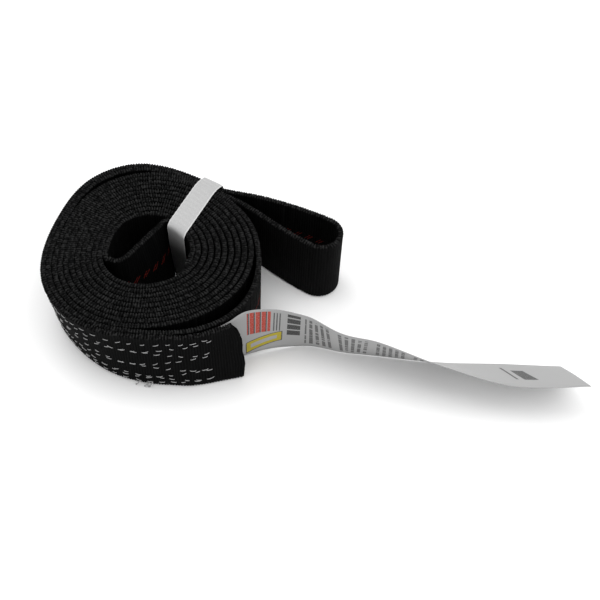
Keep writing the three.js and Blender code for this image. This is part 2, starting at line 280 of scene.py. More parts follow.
def make_piece(name: str, points: Array, faces: Sequence[Sequence[int]],
               uv: Array) -> bpy.types.Object:
    """Put points and faces into a new object at the origin.

    Args:
        name: Name of the piece.
        points: Points about the roll's axis, mm.
        faces: Point numbers of each face.
        uv: Surface coordinates of each face corner, in the faces' order.

    Returns:
        The new object, in the scene.
    """
    mesh = bpy.data.meshes.new(name)
    mesh.from_pydata(((points + ROLL_AXIS) * MM).tolist(), [], faces)
    mesh.polygons.foreach_set("use_smooth", np.full(len(mesh.polygons), True))
    layer = mesh.uv_layers.new(name="surface")
    layer.data.foreach_set("uv", np.asarray(uv, np.float32).ravel())
    mesh.validate()
    mesh.update()
    piece = bpy.data.objects.new(name, mesh)
    bpy.context.scene.collection.objects.link(piece)
    return piece


def dress(piece: bpy.types.Object, finish: bpy.types.Material) -> None:
    """Give a piece its finish and its body.

    Args:
        piece: The object.
        finish: Its material.
    """
    piece.data.materials.append(finish)
    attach(piece, "root")
    triangles = sum(len(p.vertices) - 2 for p in piece.data.polygons)
    LOG.info("%s: %d triangles", piece.name, triangles)


# Shader words


class Sock:
    """A number that varies over a surface: arithmetic on it adds Math nodes."""

    def __init__(self, paint: "Paint", socket: bpy.types.NodeSocket) -> None:
        """Wrap a socket of a material's nodes."""
        self.paint = paint
        self.socket = socket

    def _math(self, operation: str, *others: Union["Sock", Number], flip: bool = False) -> "Sock":
        """One Math node on this value and others.

        Args:
            operation: What the node does.
            others: The other values or numbers.
            flip: Whether this value comes last.

        Returns:
            The node's value.
        """
        values = [self, *others]
        if flip:
            values.reverse()
        return self.paint.node("ShaderNodeMath", {"operation": operation},
                               {i: v for i, v in enumerate(values)})

    def __add__(self, other: Union["Sock", Number]) -> "Sock":
        """Sum."""
        return self._math("ADD", other)

    __radd__ = __add__

    def __mul__(self, other: Union["Sock", Number]) -> "Sock":
        """Product."""
        return self._math("MULTIPLY", other)

    __rmul__ = __mul__

    def __sub__(self, other: Union["Sock", Number]) -> "Sock":
        """Difference."""
        return self._math("SUBTRACT", other)

    def __rsub__(self, other: Number) -> "Sock":
        """Difference from a number."""
        return self._math("SUBTRACT", other, flip=True)

    def __truediv__(self, other: Union["Sock", Number]) -> "Sock":
        """Quotient."""
        return self._math("DIVIDE", other)

    def __gt__(self, other: Union["Sock", Number]) -> "Sock":
        """1 where this is greater."""
        return self._math("GREATER_THAN", other)

    def __lt__(self, other: Union["Sock", Number]) -> "Sock":
        """1 where this is less."""
        return self._math("LESS_THAN", other)

    def __abs__(self) -> "Sock":
        """Size without sign."""
        return self._math("ABSOLUTE")

    def fraction(self) -> "Sock":
        """What is left after the whole number is taken off."""
        return self._math("FRACT")

    def floor(self) -> "Sock":
        """The whole number below."""
        return self._math("FLOOR")

    def wave(self) -> "Sock":
        """Cosine of this many turns, from -1 to 1."""
        return (self * (2 * math.pi))._math("COSINE")

    def within(self, low: Number, high: Number) -> "Sock":
        """1 between two numbers and 0 outside."""
        return (self > low) * (self < high)

    def ramp(self, low: Number, high: Number) -> "Sock":
        """Smooth step from 0 to 1.

        Args:
            low: Where it is 0.
            high: Where it is 1. It may be less than low.

        Returns:
            The step.
        """
        return self.paint.node(
            "ShaderNodeMapRange", {"interpolation_type": "SMOOTHSTEP"},
            {"Value": self, "From Min": low, "From Max": high, "To Min": 0.0, "To Max": 1.0})


class Paint:
    """The nodes of one material."""

    def __init__(self, name: str) -> None:
        """Start a material with one Principled shader.

        Args:
            name: The material's name.
        """
        self.material = bpy.data.materials.new(name)
        self.material.use_nodes = True
        self.tree = self.material.node_tree
        self.shader = self.tree.nodes["Principled BSDF"]

    def node(self, kind: str, settings: Optional[dict] = None, values: Optional[dict] = None,
             out: Union[int, str] = 0) -> Sock:
        """Add a node.

        Args:
            kind: The node's type.
            settings: Its own settings, set first.
            values: Numbers, colours or links for its sockets.
            out: Which output is returned.

        Returns:
            The chosen output.
        """
        made = self.tree.nodes.new(kind)
        for key, value in (settings or {}).items():
            setattr(made, key, value)
        for key, value in (values or {}).items():
            self._feed(made.inputs[key], value)
        return Sock(self, made.outputs[out])

    def _feed(self, socket: bpy.types.NodeSocket, value: object) -> None:
        """Link or set one socket.

        Args:
            socket: The socket to feed.
            value: A value that varies, which is linked, or a plain one, which is set.
        """
        if isinstance(value, Sock):
            self.tree.links.new(value.socket, socket)
        else:
            socket.default_value = value

    def set(self, **values: object) -> None:
        """Set or link sockets of the shader, named with underscores for spaces."""
        for key, value in values.items():
            self._feed(self.shader.inputs[key.replace("_", " ")], value)

    def surface(self) -> tuple["Sock", "Sock"]:
        """The piece's own surface coordinates.

        Returns:
            The distance along the piece in metres, and the place across it.
        """
        uv = self.node("ShaderNodeUVMap", {"uv_map": "surface"})
        split = self.node("ShaderNodeSeparateXYZ", None, {"Vector": uv}, 0)
        return split, Sock(self, split.socket.node.outputs[1])

    def place(self) -> Sock:
        """Object coordinates."""
        return self.node("ShaderNodeTexCoord", None, None, "Object")

    def noise(self, where: Sock, scale: float, detail: float = 2.0, rough: float = 0.5) -> Sock:
        """Noise from 0 to 1 at a place."""
        return self.node("ShaderNodeTexNoise", None,
                         {"Vector": where, "Scale": scale, "Detail": detail, "Roughness": rough})

    def point(self, x: Union[Sock, Number], y: Union[Sock, Number], z: Union[Sock, Number] = 0.0) -> Sock:
        """A place from three numbers."""
        return self.node("ShaderNodeCombineXYZ", None, {0: x, 1: y, 2: z})

    def mix(self, share: Union[Sock, Number], low: object, high: object) -> Sock:
        """A colour between two.

        Args:
            share: How much of the second colour shows, from 0 to 1.
            low: The first colour.
            high: The second colour.

        Returns:
            The mixed colour.
        """
        made = self.tree.nodes.new("ShaderNodeMix")
        made.data_type = "RGBA"
        for key, value in (("Factor", share), (6, low), (7, high)):
            self._feed(made.inputs[key], value)
        return Sock(self, made.outputs[2])

    def bump(self, height: Sock, strength: float, distance: float) -> None:
        """Feed a relief to the shader's normal.

        Args:
            height: The relief, from 0 to 1.
            strength: How much of it shows.
            distance: Its depth in metres.
        """
        self.set(Normal=self.node("ShaderNodeBump", None,
                                  {"Height": height, "Strength": strength, "Distance": distance}))


def shade(grey: float, warm: float = 0.0) -> tuple[float, float, float, float]:
    """A grey with a touch of warmth, as a colour."""
    return (grey * (1 + warm), grey, grey * (1 - warm), 1.0)


# Finishes


@dataclass(frozen=True)
class WebbingFinish:
    """Black polyester webbing with transverse ribs, corded edges and a red tracer."""

    rib_pitch: float
    width: float
    # dark and light: the colours between which the ribs' painted shade and the random yarn tone are mixed
    dark: float = 0.0007
    light: float = 0.0042
    # colour of fibre fuzz, also used for painted highlights on the edge knots
    fuzz_and_highlight: float = 0.026
    roughness: float = 0.82
    tracer: tuple[float, float, float, float] = (0.22, 0.024, 0.018, 1.0)
    tracer_pitch: float = 8.0
    tracer_at: float = 0.52         # share of the width up from the bottom edge
    tracer_half: float = 2.2        # half the height of its strokes, mm
    tracer_slope: float = 0.9
    tracer_strokes: tuple = ((1.6, 2.5), (3.6, 4.5))
    bead_scale: float = 560.0       # knots of the corded edges, in a metre; scale of their painted highlights
    fluff_scale: float = 1500.0     # fibre ends, in a metre
    relief: float = 0.0006          # depth of the bump, metres
    specular: float = 0.04

    def make(self) -> bpy.types.Material:
        """Build the material.

        Returns:
            The material. Its colour has painted shade between the ribs, painted highlights mixed with
            fibre fuzz on the knots of the top edge, a red tracer that is darker in the grooves, and
            lighter fibre ends.
        """
        paint = Paint("ribbed_webbing")
        s, p = paint.surface()
        along = s / MM
        where = paint.place()
        rib = (along / self.rib_pitch).wave() * 0.5 + 0.5
        yarn = paint.noise(paint.point(along * 0.9, p * 120.0), 1.0, 3.0, 0.65)
        streak = paint.noise(paint.point(along * 0.35, p * 2.5), 1.0, 2.0, 0.5)
        fluff = paint.noise(where, self.fluff_scale, 2.0, 0.7).ramp(0.6, 0.8)
        # painted highlights on the crests of the edge's knots, mixed with fibre fuzz
        bead = (paint.noise(where, self.bead_scale, 2.0, 0.6) * 1.6 + rib * 0.26).ramp(0.82, 1.22)
        edge = p.within(1.0, 1.1)
        # painted shade: darker in the grooves between the ribs (rib), on top of random yarn tone and
        # streaks
        tone_and_painted_light = rib * 0.5 + yarn * 0.5 + (streak - 0.5) * 0.5
        base = paint.mix(tone_and_painted_light.ramp(0.2, 0.95), shade(self.dark, -0.03), shade(self.light, -0.03))
        # painted highlight: lighter knots along the top edge
        base = paint.mix(bead * edge * 0.75, base, shade(self.fuzz_and_highlight))
        base = paint.mix(fluff * (edge * 0.3 + 0.1), base, shade(self.fuzz_and_highlight))
        # painted shade: the red tracer is darker in the grooves between the ribs
        base = paint.mix(self._tracer(along, p) * (rib * 0.3 + 0.7), base, self.tracer)
        paint.set(Base_Color=base, Roughness=yarn * 0.2 + (self.roughness - 0.1))
        paint.shader.inputs["Specular IOR Level"].default_value = self.specular
        paint.bump(yarn * 0.4 + fluff * 0.2 + bead * edge * 0.6, 0.8, self.relief)
        return paint.material

    def _tracer(self, along: Sock, p: Sock) -> Sock:
        """Groups of two short slanted red yarns on one face.

        Args:
            along: Distance along the webbing, mm.
            p: Place across it: 0 to 1 on this face.

        Returns:
            The share of red.
        """
        height = (p - self.tracer_at) * self.width
        step = (along / self.tracer_pitch).fraction() * self.tracer_pitch
        slant = step - height * self.tracer_slope
        first, second = (slant.within(*stroke) for stroke in self.tracer_strokes)
        return (first + second) * (abs(height) < self.tracer_half)


@dataclass(frozen=True)
class SatinFinish:
    """White satin ribbon with a fine diagonal weave and bright corded edges."""

    width: float
    colour: float = 0.44
    thread: float = 0.66
    painted_shade_span: tuple = (58.0, 26.0)    # painted shade: where the leg in the hollow starts to darken and is darkest, mm

    def make(self) -> bpy.types.Material:
        """Build the material.

        Returns:
            The material, smooth along its floats and brighter at its edges, with painted sheen in its
            diagonal twill lines and painted shade on the leg in the hollow.
        """
        paint = Paint("satin_ribbon")
        s, v = paint.surface()
        along, across = s / MM, v * self.width
        twill = (along * 0.8 + across * 1.5).wave() * 0.5 + 0.5
        mottle = paint.noise(paint.point(along * 0.8 + across * 0.6, across * 1.5), 1.0, 3.0, 0.65)
        edge = abs(v - 0.5).ramp(0.445, 0.475)
        # diagonal twill lines: weave pattern, partly painted sheen; the mottle is random tone
        tone_and_painted_light = (mottle * 0.6 + twill * 0.4).ramp(0.2, 0.8)
        base = paint.mix(tone_and_painted_light, shade(self.colour * 0.6), shade(self.colour * 1.1))
        base = paint.mix(edge * 0.8, base, shade(self.thread))
        # painted shade: the leg inside the hollow darkens towards the bottom
        base = paint.mix(along.ramp(*self.painted_shade_span) * 0.97, base, shade(self.colour * 0.05))
        paint.set(Base_Color=base, Roughness=twill * 0.12 + mottle * 0.15 + 0.3)
        paint.shader.inputs["Specular IOR Level"].default_value = 0.6
        paint.bump(twill * 0.6 + mottle * 0.4, 0.35, 0.00015)
        return paint.material


@dataclass(frozen=True)
class ThreadFinish:
    """White polyester sewing thread, twisted."""

    colour: float = 0.42
    twists: float = 900.0           # turns of its twist in a metre

    def make(self) -> bpy.types.Material:
        """Build the material.

        Returns:
            The material, with the twist as a slanted wave round the thread.
        """
        paint = Paint("sewing_thread")
        s, v = paint.surface()
        twist = (s * self.twists + v * 2.0).wave() * 0.5 + 0.5
        paint.set(Base_Color=paint.mix(twist, shade(self.colour * 0.62), shade(self.colour)),
                  Roughness=twist * 0.2 + 0.45)
        paint.bump(twist, 0.5, 0.0001)
        return paint.material


@dataclass(frozen=True)
class Patch:
    """A block of print: its ends along the tape, mm, and its edges across it, as shares."""

    start: float
    end: float
    low: float
    high: float

    def mask(self, along: Sock, v: Sock) -> Sock:
        """1 inside the block."""
        return along.within(self.start, self.end) * v.within(self.low, self.high)


@dataclass(frozen=True)
class TapeFinish:
    """Light grey printed tape. Its print is plain blocks and bars, without lettering."""

    width: float
    colour: float = 0.345
    ink: float = 0.035
    red: tuple[float, float, float, float] = (0.4, 0.035, 0.015, 1.0)
    yellow: tuple[float, float, float, float] = (0.42, 0.34, 0.015, 1.0)
    red_block: Patch = Patch(40.4, 55.6, 0.46, 0.95)
    red_bar: float = 3.8            # pitch of its bars, mm
    frame_middle: tuple = (51.5, 10.5)
    frame_half: tuple = (11.5, 4.8)     # half its length and height, mm
    frame_line: float = 2.9
    frame_rim: float = 0.7          # dark outline round it, mm
    frame_slope: float = 0.32
    frame_level: float = 51.0       # where along the tape its slope counts from, mm
    fine_block: Patch = Patch(56.5, 62.5, 0.46, 0.92)
    fine_pitch: float = 1.9
    heading_block: Patch = Patch(66.5, 75.0, 0.34, 0.93)
    heading_bars: float = 6.0       # bars in the tape's width
    text_block: Patch = Patch(78.0, 176.0, 0.1, 0.9)
    text_pitch: float = 4.0
    text_group: float = 24.0
    back_block: Patch = Patch(210.5, 219.5, 2.3, 2.68)
    back_line: Patch = Patch(205.2, 206.8, 2.2, 2.68)
    back_slant: float = 16.3        # how far the back's marks run on in the tape's width, mm

    def make(self) -> bpy.types.Material:
        """Build the material.

        Returns:
            The material. Surface coordinates are metres along the tape from its hidden end,
            and 0 to 1 across it, or 2 to 3 on the back.
        """
        paint = Paint("label_tape")
        s, v = paint.surface()
        along = s / MM
        weave = paint.noise(paint.point(along * 2.2, v * 90.0), 1.0, 2.0, 0.5)
        soil = paint.noise(paint.place(), 30.0, 3.0, 0.6)
        base = paint.mix(weave * 0.5 + soil * 0.5, shade(self.colour * 0.9), shade(self.colour))
        worn = paint.noise(paint.point(along * 1.3, v * 55.0), 1.0, 2.0, 0.6).ramp(0.3, 0.55)
        for mask, colour in self._print(paint, along, v):
            base = paint.mix(mask * (worn * 0.35 + 0.65), base, colour)
        paint.set(Base_Color=base, Roughness=weave * 0.15 + 0.5)
        paint.shader.inputs["Specular IOR Level"].default_value = 0.35
        paint.bump(weave, 0.25, 0.0001)
        return paint.material

    def _print(self, paint: Paint, along: Sock, v: Sock) -> list[tuple[Sock, tuple]]:
        """Red bars, a yellow frame, fine bars, a heading, lines of text as bars, and the back.

        Args:
            paint: The tape's material.
            along: Distance along the tape, mm.
            v: Place across it: 0 to 1, or 2 to 3 on the back.

        Returns:
            Masks of ink and their colours, first those that lie lowest.
        """
        block = self.red_block.mask(along, v)
        step = (along / self.red_bar).fraction()
        red, rim = block * step.within(0.12, 0.8), block * step.within(0.8, 1.0)
        middle, half, line = self.frame_middle, self.frame_half, self.frame_line
        height = v * self.width - (along - self.frame_level) * self.frame_slope
        ring_x, ring_y = abs(along - middle[0]), abs(height - middle[1])
        edge = (ring_x < half[0] + self.frame_rim) * (ring_y < half[1] + self.frame_rim)
        outer = (ring_x < half[0]) * (ring_y < half[1])
        inner = (ring_x < half[0] - line) * (ring_y < half[1] - line)
        fine = self.fine_block.mask(along, v) * (along / self.fine_pitch).fraction().within(0.2, 0.66)
        heading = (v * self.heading_bars).fraction().within(0.1, 0.9)
        heading = self.heading_block.mask(along, v) * heading
        line_number = (along / self.text_pitch).floor()
        words = paint.noise(paint.point(line_number * 7.3, v * 17.0), 1.0, 1.0, 0.4) > 0.4
        row = (along / self.text_pitch).fraction().within(0.22, 0.76)
        group = ((along - 2.0) / self.text_group).fraction().within(0.08, 0.92)
        text = self.text_block.mask(along, v) * row * group * words
        skewed = along - (v - 2.22) * self.back_slant
        back = self.back_block.mask(skewed, v) + self.back_line.mask(skewed, v)
        return [
            (red, self.red),
            (rim, shade(self.ink)),
            (edge * (1.0 - inner), shade(self.ink)),
            (outer * (1.0 - inner), self.yellow),
            (fine, shade(self.ink * 2)),
            (heading, shade(self.ink * 0.5)),
            (text, shade(self.ink * 2.4)),
            (back, shade(self.ink * 1.5)),
        ]


# The roll's path


@dataclass(frozen=True)
class Roll:
    """How the webbing runs: tail, eye, standing part, coil and inner end. Millimetres, degrees."""

    width: float = 50.8
    thick: float = 3.2
    turns: float = 9.8
    turn_gap: float = 0.5
    hollow_radius: float = 27.1
    core_shift: float = 2.4         # how far the innermost turn lies to the left
    out_of_round: float = 0.024     # height of the three-cornered wave, in radii
    corner_angle: float = 225
    dent: float = 3
    dent_angle: float = 165
    dent_spread: float = 45
    dent_core_share: float = 0.35   # how much of the dent the innermost turn has
    side_lean: float = 8            # how far the foot lies inwards of the top edge
    lean_angle: float = 222
    lean_spread: float = 58
    lean_core_share: float = 0.62   # how much of the lean the innermost turn has
    crossing: tuple = ((-1.0, -0.34), (-0.86, -0.4), (-0.66, -0.31), (-0.38, 0.05), (-0.08, 0.46),
                       (0.12, 0.72))
    crossing_lean: float = 12       # how far the crossing's foot lies to one side
    crossing_lean_angle: float = -30
    crossing_lean_place: float = 0.65   # where along the crossing, as a share
    crossing_lean_spread: float = 0.3
    wall_from: float = 68           # where the inner end lies along the wall
    wall_to: float = -30
    ply_gap: float = 0.35           # between plies that lie against each other
    tail_angle: float = 43          # the free end, round from the front
    tail_flare: float = 3.4         # how far the free end stands off the roll
    flare_spread: float = 14
    tail_foot: float = 6.3          # how far its foot stands out
    tail_foot_power: float = 2.2
    standing_bulge: float = 7.2     # gap between standing part and coil
    standing_angle: float = -50
    standing_spread: float = 54
    eye_bulge: float = 2.6          # gap under the plies towards the eye
    eye_bulge_angle: float = 115
    eye_bulge_spread: float = 42
    eye_length: float = 91.2
    eye_width: float = 28.6
    eye_angle: float = -32.3
    eye_root_far: float = 53        # where the far ply leaves the roll
    eye_root_near: float = 49
    far_bow: tuple = (0.16, 0.34)   # reach of the curve's handles, in lengths of a side
    near_bow: tuple = (0.3, 0.3)
    band_angle: float = 64.2        # the band's direction from the roll's axis
    band_offset: float = 6.5        # how far beside the axis it passes
    band_press: float = 7           # how far it presses the top edge down
    press_spread: float = 46
    near_press: float = 0.75        # the near ply's share of the press
    standing_press: float = 0.35
    root_press: float = 0.8
    label_pocket: float = 1.2       # extra room for the tape under the tail
    pocket_from: float = 8
    pocket_to: float = 20
    fineness: int = 400             # cross-sections for each turn, before they are evened
    side_points: int = 120          # points of each side of the eye
    end_points: int = 90            # points of its round end
    heading_part: int = 36          # headings are read over this part of a turn
    top_softening: float = 9.0      # half the length over which the top edge is evened, mm

    @property
    def pitch(self) -> float:
        """Distance between turns."""
        return self.thick + self.turn_gap + self.core_shift / self.turns

    @property
    def ply_pitch(self) -> float:
        """Distance between plies that lie against each other."""
        return self.thick + self.ply_gap

    @property
    def last_radius(self) -> float:
        """Radius of the innermost turn's middle."""
        return self.hollow_radius + self.thick / 2

    def fade(self, core_share: float, turns: Array) -> Array:
        """1 at the outermost ply, and less in step to the core's share at the innermost turn."""
        return 1 - (1 - core_share) * np.clip(np.asarray(turns, float) / self.turns, 0, 1)

    def radius(self, turns: Array) -> Array:
        """Spiral radius, times a three-cornered wave, less the dent.

        Args:
            turns: Places along the webbing, in turns from the front.

        Returns:
            Radii of the webbing's middle.
        """
        degrees = FRONT + 360 * turns
        spiral = self.last_radius + self.pitch * (self.turns - turns)
        corner = self.out_of_round * np.cos(3 * np.radians(degrees - self.corner_angle))
        dent = self.dent * self.fade(self.dent_core_share, turns)
        return spiral * (1 + corner) - dent * hump_round(degrees, self.dent_angle, self.dent_spread)

    def on_roll(self, turns: Array, outwards: Array, press: Array) -> tuple[Array, Array]:
        """Cross-sections on the roll, pushed outwards and pressed down at the band.

        Args:
            turns: Places along the webbing.
            outwards: Distance off the layer's own spiral.
            press: Share of the band's press.

        Returns:
            Middles of the top edges and of the bottom edges.
        """
        degrees = FRONT + 360 * turns
        out = np.column_stack([np.cos(np.radians(degrees)), np.sin(np.radians(degrees))])
        lean = -self.side_lean * self.fade(self.lean_core_share, turns)
        lean = lean * hump_round(degrees, self.lean_angle, self.lean_spread)
        plan = out * (self.radius(turns) + outwards)[:, None]
        plan[:, 0] -= self.core_shift * (1 - self.fade(0, turns))
        sewn_radius = self.last_radius + self.pitch * self.turns + self.ply_pitch
        rim = self.band_angle - math.degrees(math.asin(self.band_offset / sewn_radius))
        drop = self.band_press * press * hump_round(degrees, rim, self.press_spread)
        return (np.column_stack([plan, self.width - drop]),
                np.column_stack([plan + out * lean[:, None], np.zeros(len(plan))]))

    def slack(self, turns: Array) -> Array:
        """How far the webbing stands off the layer inside it.

        Args:
            turns: Places along the webbing.

        Returns:
            The gaps, mm.
        """
        degrees = FRONT + 360 * turns
        return (self.standing_bulge * hump(degrees, self.standing_angle, self.standing_spread)
                + self.eye_bulge * hump(degrees, self.eye_bulge_angle - 360, self.eye_bulge_spread))

    def _places(self, start: float, end: float) -> Array:
        """Evenly spaced places between two."""
        return np.linspace(start, end, max(int(abs(end - start) * self.fineness), 2))

    def tail(self) -> tuple[Array, Array]:
        """Outer ply, from the free end to where it leaves the roll for the eye.

        Returns:
            Middles of the top edges and of the bottom edges.
        """
        turns = self._places(self.tail_angle / 360, (self.eye_root_far - 360 - FRONT) / 360)
        past = 360 * turns
        flare = np.maximum(0, (past - self.tail_angle + self.flare_spread) / self.flare_spread) ** 2
        opening = smooth_step(past, self.pocket_from, self.pocket_to)
        outwards = self.ply_pitch + self.slack(turns) + self.label_pocket * opening
        outwards = outwards + self.tail_flare * flare
        top, bottom = self.on_roll(turns, outwards, np.ones(len(turns)))
        foot = self.tail_foot * np.maximum(0, past / self.tail_angle) ** self.tail_foot_power
        bottom[:, :2] += unit(top[:, :2]) * foot[:, None]
        return top, bottom

    def inner(self) -> tuple[Array, Array]:
        """Near ply of the eye, standing part and coil.

        Returns:
            Middles of the top edges and of the bottom edges.
        """
        turns = self._places((self.eye_root_near - 360 - FRONT) / 360, self.turns)
        press = np.where(turns < 0, self.near_press, np.where(turns < 1, self.standing_press, 0.0))
        return self.on_roll(turns, self.slack(turns), press)

    def eye(self, far: Array, far_run: Array, near: Array, near_run: Array) -> tuple[Array, Array]:
        """Two bowed sides joined by half a circle.

        Args:
            far: Where the far ply leaves the roll, in plan.
            far_run: Its heading there.
            near: Where the near ply comes back.
            near_run: Its heading there.

        Returns:
            Middles of the top edges and of the bottom edges.
        """
        angle = math.radians(self.eye_angle)
        axis = np.array([math.cos(angle), math.sin(angle)])
        across = np.array([-axis[1], axis[0]])
        bend = (self.eye_width - self.thick) / 2
        pinch = (far + near) / 2
        centre = pinch + axis * (self.eye_length - self.eye_width / 2)
        far_end, near_end = centre + across * bend, centre - across * bend
        side = float(np.linalg.norm(far_end - far))
        far_side = bezier(far, far + far_run * side * self.far_bow[0],
                          far_end - axis * side * self.far_bow[1], far_end, self.side_points)
        near_side = bezier(near_end, near_end - axis * side * self.near_bow[1],
                           near - near_run * side * self.near_bow[0], near, self.side_points)
        t = np.linspace(math.pi / 2, -math.pi / 2, self.end_points)[1:-1, None]
        end = centre + bend * (np.cos(t) * axis + np.sin(t) * across)
        plan = np.vstack([far_side[1:], end, near_side[:-1]])
        close = np.maximum(0, 1 - np.linalg.norm(plan - pinch, axis=1) / (side / 2))
        drop = self.band_press * self.root_press * close**2
        return (np.column_stack([plan, self.width - drop]),
                np.column_stack([plan, np.zeros(len(plan))]))

    def inner_end(self, last: Array) -> tuple[Array, Array]:
        """Off the last turn, across the hollow and back along the far wall.

        Args:
            last: The last two places of the coil, in plan.

        Returns:
            Middles of the top edges and of the bottom edges.
        """
        whole = math.floor(self.turns)
        wall_turns = self._places((self.wall_from - FRONT) / 360 + whole,
                                  (self.wall_to - FRONT) / 360 + whole)
        wall = self.on_roll(wall_turns, np.full(len(wall_turns), -self.ply_pitch),
                            np.zeros(len(wall_turns)))
        step = int(self.fineness / self.heading_part)
        across = np.array(self.crossing) * self.hollow_radius
        knots = np.vstack([last, across, wall[0][[0, step], :2]])
        line = through(knots, 40)
        share = np.linspace(0, 1, len(line))
        keep = (share > 1 / (len(knots) - 1)) & (share < 1 - 1 / (len(knots) - 1))
        plan = line[keep]
        angle = math.radians(self.crossing_lean_angle)
        lean = hump(share[keep], self.crossing_lean_place, self.crossing_lean_spread)
        lean = self.crossing_lean * lean[:, None]
        foot = plan + lean * np.array([math.cos(angle), math.sin(angle)])
        top = np.column_stack([plan, np.full(len(plan), self.width)])
        bottom = np.column_stack([foot, np.zeros(len(plan))])
        return np.vstack([top, wall[0]]), np.vstack([bottom, wall[1]])

    def strip(self, step: float) -> Strip:
        """The whole webbing at even steps, from the free end inwards.

        Args:
            step: Distance between cross-sections.

        Returns:
            The strip. Its left is outwards on the tail and inwards on the coil.
        """
        tail, inner = self.tail(), self.inner()
        far, near = tail[0][:, :2], inner[0][:, :2]
        eye = self.eye(far[-1], unit(far[-1] - far[-6]), near[0], unit(near[5] - near[0]))
        back = int(self.fineness / self.heading_part)
        end = self.inner_end(inner[0][[-1 - back, -1], :2])
        whole = Strip(*(np.vstack([tail[k], eye[k], inner[k], end[k]]) for k in (0, 1)))
        evened = whole.even(step)
        evened.top[:, 2] = soften(evened.top[:, 2], int(self.top_softening / step))
        return evened


# Webbing


@dataclass
class Webbing:
    """The one length of webbing, with ribs and corded edges."""

    roll: Roll = field(default_factory=Roll)
    rib_pitch: float = 1.76
    rib_steps: int = 4
    rib_depth: float = 0.2
    bead: float = 0.75
    cord: float = 1.13              # an edge cord's thickness, as a share of the webbing's
    slant: float = 0.75
    face_columns: int = 9           # points across a face of the tail, for its uneven end
    fine_length: float = 280.5      # length of that finer part, mm
    cut_reach: float = 14.0         # how far the uneven cut reaches along the tail, mm
    cut_bow: float = 1.2            # how far its middle bows out
    cut_corner: float = 4.2         # how far its top corner is rounded off

    def __post_init__(self) -> None:
        """Lay the strip out."""
        self.strip = self.roll.strip(self.rib_pitch / self.rib_steps)

    def section(self, columns: int) -> tuple[Array, Array]:
        """Outline of a cross-section: up the right face, over the top, down the left, under.

        Args:
            columns: Points on each wide face.

        Returns:
            Distance to the left and height of each point, mm.
        """
        half, width = self.roll.thick / 2, self.roll.width
        rise = np.linspace(1.0, width - 1.25, columns)
        cord, under = self.cord, width - 0.55
        top = np.array([(-cord, under), (-0.7, width), (0.7, width), (cord, under)])
        foot = np.array([(0.6, 0.0), (-0.6, 0.0)])
        out = np.concatenate([np.full(columns, -1.0), top[:, 0], np.full(columns, 1.0), foot[:, 0]])
        high = np.concatenate([rise, top[:, 1], rise[::-1], foot[:, 1]])
        return out * half, high

    def relief(self, along: Array, out: Array, high: Array) -> tuple[Array, Array]:
        """Ribs: half the depth times 1 - cos of the turn in each rib pitch, less thickness
        there. Beads: the same wave, slanted over the edge, as less height there. Each groove is
        uneven by a scattered number of its own: the fraction of a large multiple of a sine.

        Args:
            along: Distance along the webbing.
            out: Distance to the left.
            high: Height.

        Returns:
            The new distance to the left and the new height.
        """
        width = self.roll.width
        turn = 2 * np.pi * along / self.rib_pitch
        near_top = smooth_step(high, width - 2.5, width - 0.6)
        near_foot = smooth_step(2.0 - high, 0.0, 1.4)
        edge = near_top + near_foot
        phase = turn + self.slant * out * edge
        groove = 0.5 - 0.5 * np.cos(phase)
        knot = np.floor(phase / (2 * np.pi)) + 7.3 * np.sign(out) * edge
        uneven = 2 * ((np.sin(knot * 12.9898) * 43758.5453) % 1) - 1
        new_out = out - np.sign(out) * self.rib_depth * groove * (1 + 0.35 * uneven)
        new_high = high - (near_top - near_foot) * self.bead * groove * (1 + 0.8 * uneven)
        new_out = new_out + 0.3 * edge * groove * uneven
        return new_out, np.maximum(new_high, 0.02)

    def _points(self, where: Array, columns: int) -> Array:
        """Surface points at places along the strip.

        Args:
            where: Distances along the strip.
            columns: Points on each wide face.

        Returns:
            Points, sections by outline by three.
        """
        out, high = self.section(columns)
        along = where[:, None] + self._ragged(where[:, None], high[None, :])
        new_out, new_high = self.relief(along, out[None, :], high[None, :])
        return self.strip.at(along, new_high / self.roll.width, new_out)

    def _ragged(self, along: Array, high: Array) -> Array:
        """Cut end of the tail: bowed out in the middle, rounded at the top corner and wavy.

        Args:
            along: Distance from the free end.
            high: Height.

        Returns:
            How far each point moves along the webbing, mm.
        """
        v = high / self.roll.width
        near = np.clip(1 - along / self.cut_reach, 0, 1) ** 2
        bow = self.cut_bow * (1 - np.sin(np.pi * np.clip(v, 0, 1)))
        corner = self.cut_corner * smooth_step(v, 0.82, 1.0)
        wave = 0.8 * np.sin(15 * v + 0.6) + 0.4 * np.sin(41 * v + 2)
        return near * (bow + corner + wave)

    def build(self) -> bpy.types.Object:
        """Make the webbing's mesh: a fine part for the tail, joined to a plainer one.

        Returns:
            The piece.
        """
        where = self.strip.along
        fine_until = int(self.fine_length / where[1])
        fine = self._points(where[:fine_until], self.face_columns)
        plain = self._points(where[fine_until:], 2)
        fine_size, plain_size = fine.shape[1], plain.shape[1]
        first = fine.shape[0] * fine_size
        points = np.vstack([fine.reshape(-1, 3), plain.reshape(-1, 3)])
        quads = [grid_quads(fine.shape[0], fine_size, True),
                 grid_quads(plain.shape[0], plain_size, True, first)]
        faces = [q for block in quads for q in block[:, ::-1].tolist()]
        uv_fine = self._surface(where[:fine_until], self.face_columns)
        uv_plain = self._surface(where[fine_until:], 2)
        uv = [uv_fine, uv_plain]
        seam_faces, seam_uv = self._seam(fine, plain, where[fine_until - 1], where[fine_until])
        faces += seam_faces
        uv.append(seam_uv)
        caps = [list(range(fine_size)),
                list(range(first + (plain.shape[0] - 1) * plain_size, len(points)))[::-1]]
        faces += caps
        uv.append(np.full((fine_size + plain_size, 2), (0.0, 1.05)))
        return make_piece("webbing_ribbed", points, faces, np.vstack(uv))

